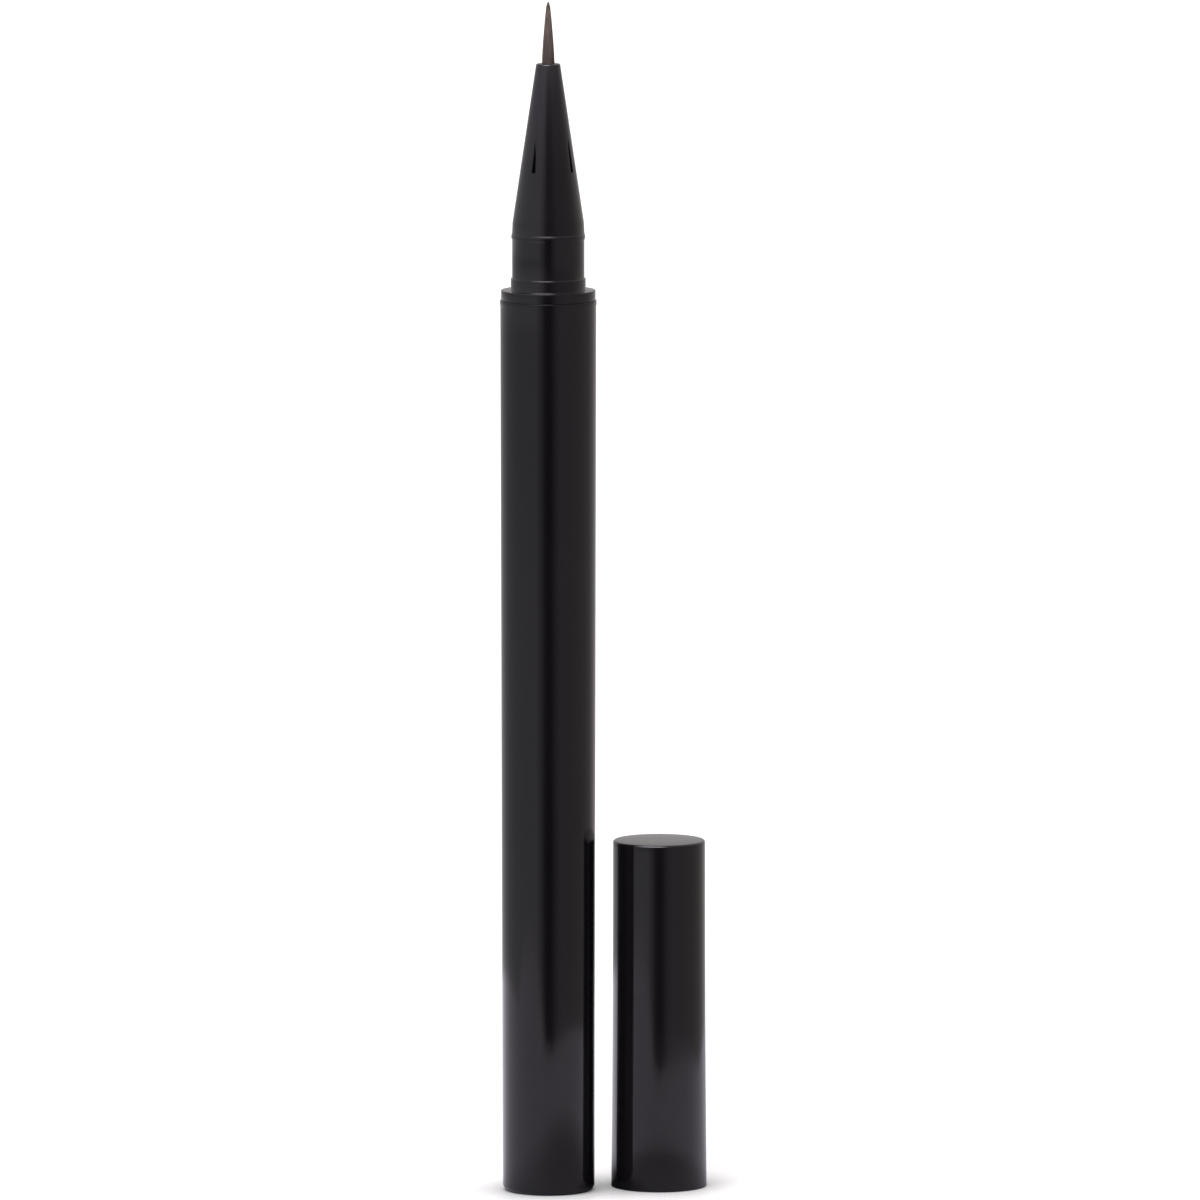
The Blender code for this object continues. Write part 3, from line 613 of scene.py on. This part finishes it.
def make_fibre():
    """One straight fibre of the brush: a thin drawn-out ring, closed at its foot and pointed at its end."""
    start_fresh()
    bpy.ops.mesh.primitive_circle_add(vertices=FIBRE_SIDES, radius=FIBRE_RADIUS, location=(0, 0, FIBRE_FOOT))
    fibre = bpy.context.object
    bpy.ops.object.transform_apply(location=True, rotation=True, scale=True)
    bpy.ops.object.mode_set(mode="EDIT")
    bpy.ops.mesh.select_mode(type="EDGE")
    bpy.ops.mesh.select_all(action="SELECT")
    height = FIBRE_FOOT
    for level in BUNDLE_LEVELS:
        rise = BRUSH_TIP - level - height
        bpy.ops.mesh.extrude_region_move(TRANSFORM_OT_translate={"value": (0, 0, rise)})
        height += rise
    bpy.ops.mesh.extrude_region_move(TRANSFORM_OT_translate={"value": (0, 0, BRUSH_TIP - height)})
    bpy.ops.mesh.merge(type="CENTER")
    close_holes()
    bpy.ops.object.mode_set(mode="OBJECT")
    return fibre


def lay_fibres():
    """Copies the fibre to its places across the bundle, lowers each end by its own amount and joins them."""
    fibre = make_fibre()
    copies = [fibre]
    while len(copies) < FIBRE_COUNT:
        copy = fibre.copy()
        copy.data = fibre.data.copy()
        bpy.context.scene.collection.objects.link(copy)
        copies.append(copy)
    for number, copy in enumerate(copies):
        angle = GOLDEN_ANGLE * number
        offset = math.sqrt((number + 0.5) / FIBRE_COUNT) * FIBRE_REACH
        copy.location = (math.cos(angle) * offset, math.sin(angle) * offset, 0)
        copy.rotation_euler.z = angle
    lower_ends(copies)
    start_fresh()
    for copy in copies:
        copy.select_set(True)
    bpy.context.view_layer.objects.active = fibre
    bpy.ops.object.transform_apply(location=True, rotation=True, scale=True)
    bpy.ops.object.join()
    return bpy.context.object


def lower_ends(copies):
    """The outer fibres end a little lower than the middle ones, and none at quite the same height."""
    for number, copy in enumerate(copies):
        share = (number + 0.5) / FIBRE_COUNT
        scatter = number * GOLDEN_SHARE % 1
        end = max(copy.data.vertices, key=lambda vert: vert.co.z)
        end.co.z -= FIBRE_DROP * share + FIBRE_SCATTER * scatter * math.sqrt(share)


def draw_in(piece, low, high, share):
    """Draws all that lies between two heights in towards the pen's axis."""
    bpy.ops.mesh.select_mode(type="VERT")
    bpy.ops.mesh.select_all(action="DESELECT")
    mesh = bmesh.from_edit_mesh(piece.data)
    for vert in mesh.verts:
        vert.select = low < vert.co.z <= high
    bmesh.update_edit_mesh(piece.data)
    bpy.ops.transform.resize(value=(share, share, 1), center_override=(0, 0, high))


def make_brush():
    """Fine fibres that lean together to a point, on the round bundle that holds them in the nose."""
    fibres = lay_fibres()
    bpy.ops.object.mode_set(mode="EDIT")
    heights = [BRUSH_TIP - level for level in BUNDLE_LEVELS]
    for height, share in zip(heights, BUNDLE_WIDTH_SHARES):
        draw_in(fibres, height - PLACE_TOLERANCE, height + PLACE_TOLERANCE, share)
    draw_in(fibres, heights[-1] + PLACE_TOLERANCE, BRUSH_TIP + PLACE_TOLERANCE, BUNDLE_END_WIDTH_SHARE)
    bpy.ops.object.mode_set(mode="OBJECT")
    root = (BRUSH_ROOT_RADIUS, BRUSH_ROOT)
    top = (BRUSH_RADIUS, BUNDLE_TOP)
    outline = [root, (BRUSH_ROOT_RADIUS, BRUSH_ROOT_TOP), (BRUSH_RADIUS, BRUSH_ROOT_TOP), top]
    piece = start_wall("brush", PEN_AXIS, *root)
    draw_wall(PEN_AXIS, outline)
    close_ends(piece, PEN_AXIS, [root, top])
    finish_piece(piece)
    fibres.select_set(True)
    piece.select_set(True)
    bpy.context.view_layer.objects.active = piece
    bpy.ops.object.join()
    finish_piece(piece, FIBRE_WELD_DISTANCE)
    return piece


# Node trees

def feed(tree, term, socket):
    """Sets a socket to a plain value, or links it to another node's result."""
    if isinstance(term, (int, float, tuple)):
        socket.default_value = term
    else:
        tree.links.new(term, socket)


def calculated(tree, operation, first, second):
    """One sum. Each term is a number or another node's result."""
    node = tree.nodes.new("ShaderNodeMath")
    node.operation = operation
    for socket, term in zip(node.inputs, (first, second)):
        feed(tree, term, socket)
    return node.outputs["Value"]


def between(tree, share, first, second):
    """The first tone where the share is 0, and the second where it is 1."""
    difference = calculated(tree, "SUBTRACT", second, first)
    return calculated(tree, "ADD", first, calculated(tree, "MULTIPLY", difference, share))


def scaled(tree, colour, factor):
    """A colour made stronger or weaker by a factor."""
    node = tree.nodes.new("ShaderNodeVectorMath")
    node.operation = "SCALE"
    feed(tree, colour, node.inputs[0])
    tree.links.new(factor, node.inputs["Scale"])
    return node.outputs["Vector"]


def spread(tree, value, low, high, at_low=0.0, at_high=1.0):
    """A node that goes from one value to another while the given value goes from low to high."""
    node = tree.nodes.new("ShaderNodeMapRange")
    node.inputs["From Min"].default_value = low
    node.inputs["From Max"].default_value = high
    node.inputs["To Min"].default_value = at_low
    node.inputs["To Max"].default_value = at_high
    tree.links.new(value, node.inputs["Value"])
    return node


def tone_ramp(tree, value, tones, low, high):
    """A ramp through these tones or colours, which lie between a low and a high place."""
    ramp = tree.nodes.new("ShaderNodeValToRGB")
    stops = ramp.color_ramp.elements
    for number, (place, tone) in enumerate(tones):
        position = (place - low) / (high - low)
        stop = stops[number] if number < 2 else stops.new(position)
        stop.position = position
        colour = tone if isinstance(tone, tuple) else (tone, tone, tone)
        stop.color = (*colour, 1)
    tree.links.new(spread(tree, value, low, high).outputs["Result"], ramp.inputs["Fac"])
    return ramp.outputs["Color"]


def mixed(tree, share, first, second):
    """The first look where the share is 0, and the second where it is 1."""
    node = tree.nodes.new("ShaderNodeMixShader")
    tree.links.new(share, node.inputs["Fac"])
    tree.links.new(first, node.inputs[1])
    tree.links.new(second, node.inputs[2])
    return node.outputs["Shader"]


# Finishes

def new_finish(name, roughness, metallic=0.0):
    """A finish with one roughness, which a pattern then varies."""
    finish = bpy.data.materials.new(name)
    finish.use_nodes = True
    shader = finish.node_tree.nodes["Principled BSDF"]
    shader.inputs["Roughness"].default_value = roughness
    shader.inputs["Metallic"].default_value = metallic
    return finish, shader


def grain(finish, scale, stretch=(1, 1, 1), detail=3.0):
    """A soft noise over the piece, with about this many grains to the metre, drawn out along an axis."""
    tree = finish.node_tree
    place = tree.nodes.new("ShaderNodeTexCoord")
    mapping = tree.nodes.new("ShaderNodeMapping")
    mapping.inputs["Scale"].default_value = stretch
    noise = tree.nodes.new("ShaderNodeTexNoise")
    noise.inputs["Scale"].default_value = scale
    noise.inputs["Detail"].default_value = detail
    tree.links.new(place.outputs["Object"], mapping.inputs["Vector"])
    tree.links.new(mapping.outputs["Vector"], noise.inputs["Vector"])
    return noise.outputs["Fac"]


def tint(finish, shader, pattern, tones):
    """Colours the piece between two tones by a pattern."""
    tree = finish.node_tree
    ramp = tree.nodes.new("ShaderNodeValToRGB")
    for stop, position, tone in zip(ramp.color_ramp.elements, PATTERN_SPAN, tones):
        stop.position = position
        stop.color = (*tone, 1)
    tree.links.new(pattern, ramp.inputs["Fac"])
    tree.links.new(ramp.outputs["Color"], shader.inputs["Base Color"])
    return ramp.outputs["Color"]


def vary_gloss(finish, shader, pattern, low, high):
    """Lets the roughness vary between two values by a pattern."""
    tree = finish.node_tree
    roughness = spread(tree, pattern, *PATTERN_SPAN, low, high)
    tree.links.new(roughness.outputs["Result"], shader.inputs["Roughness"])


def raise_grain(finish, shader, pattern, depth):
    """Raises the surface by a pattern, by up to this depth."""
    tree = finish.node_tree
    bump = tree.nodes.new("ShaderNodeBump")
    bump.inputs["Strength"].default_value = 1
    bump.inputs["Distance"].default_value = depth
    tree.links.new(pattern, bump.inputs["Height"])
    tree.links.new(bump.outputs["Normal"], shader.inputs["Normal"])


def strengthen_by_height(finish, shader, colour, low, high, at_low, at_high):
    """Multiplies the piece's colour by a factor that changes evenly between two heights on it."""
    tree = finish.node_tree
    place = tree.nodes.new("ShaderNodeTexCoord")
    split = tree.nodes.new("ShaderNodeSeparateXYZ")
    tree.links.new(place.outputs["Object"], split.inputs["Vector"])
    factor = spread(tree, split.outputs["Z"], low, high, at_low, at_high)
    strengthened = scaled(tree, colour, factor.outputs["Result"])
    tree.links.new(strengthened, shader.inputs["Base Color"])


def gloss_black_moulding(name, gloss_low, gloss_high):
    """Black moulded plastic, polished in its tool: a faint ripple, and a little unevenness in its gloss."""
    finish, shader = new_finish(name, gloss_low)
    shader.inputs["IOR"].default_value = PLASTIC_IOR
    colour = tint(finish, shader, grain(finish, scale=90, stretch=(1, 1, 0.4)), BLACK_TONES)
    unevenness = grain(finish, scale=420, stretch=(1, 1, 0.5), detail=5.0)
    vary_gloss(finish, shader, unevenness, gloss_low, gloss_high)
    ripple = grain(finish, scale=160, stretch=(1, 1, 0.35), detail=2.0)
    raise_grain(finish, shader, ripple, depth=0.0006 * MM)
    return finish, shader, colour


def black_lighter_to_tip(name, gloss_low, gloss_high):
    """The same black on the nose, a little duller, and with its colour lighter towards its tip."""
    finish, shader, colour = gloss_black_moulding(name, gloss_low, gloss_high)
    strengthen_by_height(finish, shader, colour, SLOT_FOOT, NOSE_TIP, at_low=1.0, at_high=3.0)
    return finish


def cloudy_natural_plastic():
    """Natural, uncoloured plastic: whitish, a little see-through, and cloudy from moulding."""
    finish, shader = new_finish("natural_plastic", roughness=0.4)
    shader.inputs["IOR"].default_value = PLASTIC_IOR
    shader.inputs["Subsurface Weight"].default_value = 0.25
    shader.inputs["Subsurface Scale"].default_value = 1.2 * MM
    tint(finish, shader, grain(finish, scale=220, stretch=(1, 1, 0.3)), NATURAL_TONES)
    vary_gloss(finish, shader, grain(finish, scale=900), low=0.32, high=0.48)
    raise_grain(finish, shader, grain(finish, scale=1400), depth=0.004 * MM)
    return finish


def white_moulding():
    """Plain white plastic, off a matt tool."""
    finish, shader = new_finish("collector_white", roughness=0.4)
    tint(finish, shader, grain(finish, scale=260), WHITE_TONES)
    vary_gloss(finish, shader, grain(finish, scale=1100), low=0.34, high=0.46)
    raise_grain(finish, shader, grain(finish, scale=1600), depth=0.004 * MM)
    return finish


def soft_gasket():
    """Grey elastomer with a dusty bloom."""
    finish, shader = new_finish("gasket_grey", roughness=0.65)
    tint(finish, shader, grain(finish, scale=700), GASKET_TONES)
    vary_gloss(finish, shader, grain(finish, scale=1500), low=0.55, high=0.75)
    raise_grain(finish, shader, grain(finish, scale=2500), depth=0.008 * MM)
    return finish


def inked_fibres():
    """Brown-black synthetic fibres, streaked along their length and darkest where ink stands at the nose."""
    finish, shader = new_finish("brush_fibre", roughness=0.5)
    streaks = grain(finish, scale=9000, stretch=(1, 1, 0.03), detail=2.0)
    colour = tint(finish, shader, streaks, FIBRE_TONES)
    drier = NOSE_TIP + 5.5 * MM
    strengthen_by_height(finish, shader, colour, NOSE_TIP, drier, at_low=0.62, at_high=1.45)
    vary_gloss(finish, shader, streaks, low=0.4, high=0.6)
    return finish


def soaked_rod():
    """A rod of bonded fibres, black with ink."""
    finish, shader = new_finish("inked_rod", roughness=0.7)
    streaks = grain(finish, scale=6000, stretch=(1, 1, 0.04))
    tint(finish, shader, streaks, ROD_TONES)
    vary_gloss(finish, shader, streaks, low=0.6, high=0.8)
    raise_grain(finish, shader, streaks, depth=0.02 * MM)
    return finish


def polished_ball():
    """A polished steel ball, with the faint marks of its rolling."""
    finish, shader = new_finish("polished_steel", roughness=0.12, metallic=1.0)
    tint(finish, shader, grain(finish, scale=900), BALL_TONES)
    vary_gloss(finish, shader, grain(finish, scale=3500, detail=5.0), low=0.08, high=0.2)
    return finish


def drawn_wire():
    """Stainless spring wire, with the fine lines of its drawing."""
    finish, shader = new_finish("spring_steel", roughness=0.28, metallic=1.0)
    lines = grain(finish, scale=5000, stretch=(1, 1, 3), detail=4.0)
    tint(finish, shader, lines, WIRE_TONES)
    vary_gloss(finish, shader, lines, low=0.2, high=0.36)
    return finish


def give(piece, finish):
    """Gives the piece this finish alone."""
    piece.data.materials.clear()
    piece.data.materials.append(finish)


def place_piece(piece, finish, node, body):
    """Gives a new piece its finish and its body, and hides the node that it stands for."""
    give(piece, finish)
    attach(piece, body)
    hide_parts(node)


# The table and the studio

def distance_from(tree, place, centre):
    """How far a place is from a centre."""
    offset = tree.nodes.new("ShaderNodeVectorMath")
    offset.operation = "DISTANCE"
    offset.inputs[1].default_value = centre
    tree.links.new(place, offset.inputs[0])
    return offset.outputs["Value"]


def bearing_in_degrees(tree, split):
    """The angle of a place or direction from the camera's side, left and right."""
    forward = calculated(tree, "MULTIPLY", split.outputs["Y"], -1.0)
    bearing = calculated(tree, "ARCTAN2", split.outputs["X"], forward)
    return calculated(tree, "MULTIPLY", bearing, 180 / math.pi)


def seen_straight(tree):
    """1 for what the camera sees itself or through a clear piece, and 0 for what lights or is mirrored."""
    path = tree.nodes.new("ShaderNodeLightPath")
    return calculated(tree, "MAXIMUM", path.outputs["Is Camera Ray"], path.outputs["Is Transmission Ray"])


def glow(tree, strength):
    """White light from the surface itself."""
    node = tree.nodes.new("ShaderNodeEmission")
    node.inputs["Strength"].default_value = strength
    return node.outputs["Emission"]


def matt(tree, colour):
    """A matt surface of this colour."""
    node = tree.nodes.new("ShaderNodeBsdfDiffuse")
    feed(tree, colour, node.inputs["Color"])
    return node.outputs["BSDF"]


def pool_of_light(tree, place, centre, reach, softness):
    """1 within reach of a centre and 0 beyond it, with a soft edge."""
    edge = spread(tree, distance_from(tree, place, centre), reach - softness, reach + softness, 1.0, 0.0)
    edge.interpolation_type = "SMOOTHSTEP"
    return edge.outputs["Result"]


def mirrored_table(tree):
    """The table as it lights the pieces and is mirrored in them: painted pools of light and shade, with
    nothing beyond them.
    """
    place = tree.nodes.new("ShaderNodeTexCoord").outputs["Object"]
    # Painted pools of light: beyond them the table is clear
    first, second, third = [pool_of_light(tree, place, *pool) for pool in TABLE_PAINTED_LIGHT_POOLS]
    pool = calculated(tree, "MAXIMUM", calculated(tree, "MAXIMUM", first, second), third)
    split = tree.nodes.new("ShaderNodeSeparateXYZ")
    tree.links.new(place, split.inputs["Vector"])
    # Painted light and shade by the angle round the pen
    tone = tone_ramp(tree, bearing_in_degrees(tree, split), TABLE_PAINTED_LIGHT_TONES, *BEARING_SPAN)
    # Painted shadow close in front of the feet
    painted_shadow = tone_ramp(tree, distance_from(tree, place, TABLE_PAINTED_SHADOW_CENTRE), TABLE_PAINTED_SHADOW, *TABLE_SHADING_SPAN)
    # Painted shade in the gap between the pen and the cap
    gap_shade = tone_ramp(tree, distance_from(tree, place, TABLE_GAP_SHADE_CENTRE), TABLE_GAP_PAINTED_SHADE, *TABLE_SHADING_SPAN)
    brightness = calculated(tree, "MULTIPLY", tone, calculated(tree, "MULTIPLY", painted_shadow, gap_shade))
    ground = matt(tree, scaled(tree, TABLE_TINT, brightness))
    beyond = tree.nodes.new("ShaderNodeBsdfTransparent")
    return mixed(tree, pool, beyond.outputs["BSDF"], ground)


def seen_table(tree):
    """The table as the camera sees it: white with soft shadows, a faint sheen and painted contact shade."""
    plain = tree.nodes.new("ShaderNodeAddShader")
    tree.links.new(matt(tree, (*TABLE_SHADE, 1)), plain.inputs[0])
    tree.links.new(glow(tree, TABLE_GLOW), plain.inputs[1])
    sheen = tree.nodes.new("ShaderNodeBsdfGlossy")
    sheen.inputs["Roughness"].default_value = SHEEN_ROUGHNESS
    grazing = tree.nodes.new("ShaderNodeFresnel")
    sheen_share = calculated(tree, "MINIMUM", grazing.outputs["Fac"], SHEEN_LIMIT)
    surface = mixed(tree, sheen_share, plain.outputs["Shader"], sheen.outputs["BSDF"])
    # Painted contact shade: darker close to the pieces, by ambient occlusion
    painted_contact_shade = tree.nodes.new("ShaderNodeAmbientOcclusion")
    painted_contact_shade.samples = CONTACT_SHADE_SAMPLES
    painted_contact_shade.inputs["Distance"].default_value = CONTACT_SHADE_REACH
    return mixed(tree, painted_contact_shade.outputs["AO"], glow(tree, 0), surface)


def table_finish():
    """A pale table that shows white with a soft shadow. What stands on it mirrors it as painted pools of
    light and shade.
    """
    finish = bpy.data.materials.new("table")
    finish.use_nodes = True
    tree = finish.node_tree
    tree.nodes.remove(tree.nodes["Principled BSDF"])
    surface = mixed(tree, seen_straight(tree), mirrored_table(tree), seen_table(tree))
    tree.links.new(surface, tree.nodes["Material Output"].inputs["Surface"])
    return finish


def make_table():
    """The plain pale table that the pen and its cap stand on."""
    start_fresh()
    bpy.ops.mesh.primitive_grid_add(x_subdivisions=8, y_subdivisions=8, size=TABLE_SIZE, location=(0, 0, 0))
    table = bpy.context.object
    table.name = "table"
    give(table, table_finish())
    table.select_set(False)


def light_studio():
    """Soft light from pale walls, a ceiling and a lamp in it, with a dark gap where the camera stands."""
    world = bpy.data.worlds.new("studio")
    bpy.context.scene.world = world
    world.use_nodes = True
    tree = world.node_tree
    place = tree.nodes.new("ShaderNodeTexCoord")
    split = tree.nodes.new("ShaderNodeSeparateXYZ")
    tree.links.new(place.outputs["Generated"], split.inputs["Vector"])
    degrees = bearing_in_degrees(tree, split)
    height = split.outputs["Z"]
    deep = tone_ramp(tree, degrees, DEEP_TONES, *BEARING_SPAN)
    low = tone_ramp(tree, degrees, LOW_TONES, *BEARING_SPAN)
    high = tone_ramp(tree, degrees, HIGH_TONES, *BEARING_SPAN)
    level = between(tree, tone_ramp(tree, height, LOW_SHARE, *HEIGHT_SPAN), deep, low)
    walls = between(tree, tone_ramp(tree, height, HIGH_SHARE, *HEIGHT_SPAN), level, high)
    room = between(tree, tone_ramp(tree, height, CEILING_SHARE, *HEIGHT_SPAN), walls, CEILING_TONE)
    lamp_width = tone_ramp(tree, degrees, LAMP_BEARINGS, *BEARING_SPAN)
    lamp_height = tone_ramp(tree, height, LAMP_HEIGHTS, *HEIGHT_SPAN)
    lamp = calculated(tree, "MULTIPLY", calculated(tree, "MULTIPLY", lamp_width, lamp_height), LAMP_STRENGTH)
    brightness = calculated(tree, "ADD", room, lamp)
    studio = tree.nodes["Background"]
    tints = tone_ramp(tree, degrees, STUDIO_TINTS, *BEARING_SPAN)
    tree.links.new(scaled(tree, tints, brightness), studio.inputs["Color"])
    plain = tree.nodes.new("ShaderNodeBackground")
    plain.inputs["Color"].default_value = (1, 1, 1, 1)
    seen = mixed(tree, seen_straight(tree), studio.outputs["Background"], plain.outputs["Background"])
    tree.links.new(seen, tree.nodes["World Output"].inputs["Surface"])


def add_camera():
    """A long lens, a little above the table, looking straight at the pen."""
    data = bpy.data.cameras.new("camera")
    data.lens = data.sensor_width * CAMERA_DISTANCE / FRAME_WIDTH
    camera = bpy.data.objects.new("camera", data)
    back = Vector((0, -math.cos(CAMERA_TILT), math.sin(CAMERA_TILT)))
    camera.location = CAMERA_TARGET + back * CAMERA_DISTANCE
    camera.rotation_euler = (math.pi / 2 - CAMERA_TILT, 0, 0)
    bpy.context.scene.collection.objects.link(camera)
    bpy.context.scene.camera = camera


def build():
    """Puts the scene together."""
    add_camera()
    light_studio()
    make_table()
    black = gloss_black_moulding("gloss_black", gloss_low=0.07, gloss_high=0.11)[0]
    nose_black = black_lighter_to_tip("gloss_black_nose", gloss_low=0.12, gloss_high=0.17)
    natural = cloudy_natural_plastic()
    place_piece(make_barrel(), black, "barrel", "pen")
    place_piece(make_nose(), nose_black, "nose_cone", "pen")
    place_piece(make_brush(), inked_fibres(), "brush_tip", "pen")
    place_piece(make_cap(), black, "cap_shell", "cap")
    place_piece(make_inner_cap(), natural, "inner_cap", "sealing_cup")
    spring = make_spring()
    place_piece(spring, drawn_wire(), "cap_spring", "cap")
    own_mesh(spring)
    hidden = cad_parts
    give(hidden["ink_tank"], natural)
    give(hidden["brush_holder"], natural)
    give(hidden["collector"], white_moulding())
    give(hidden["tank_gasket"], soft_gasket())
    give(hidden["feed_rod"], soaked_rod())
    give(hidden["mixing_ball"], polished_ball())


build()
bpy.context.scene.view_settings.view_transform = "Standard"
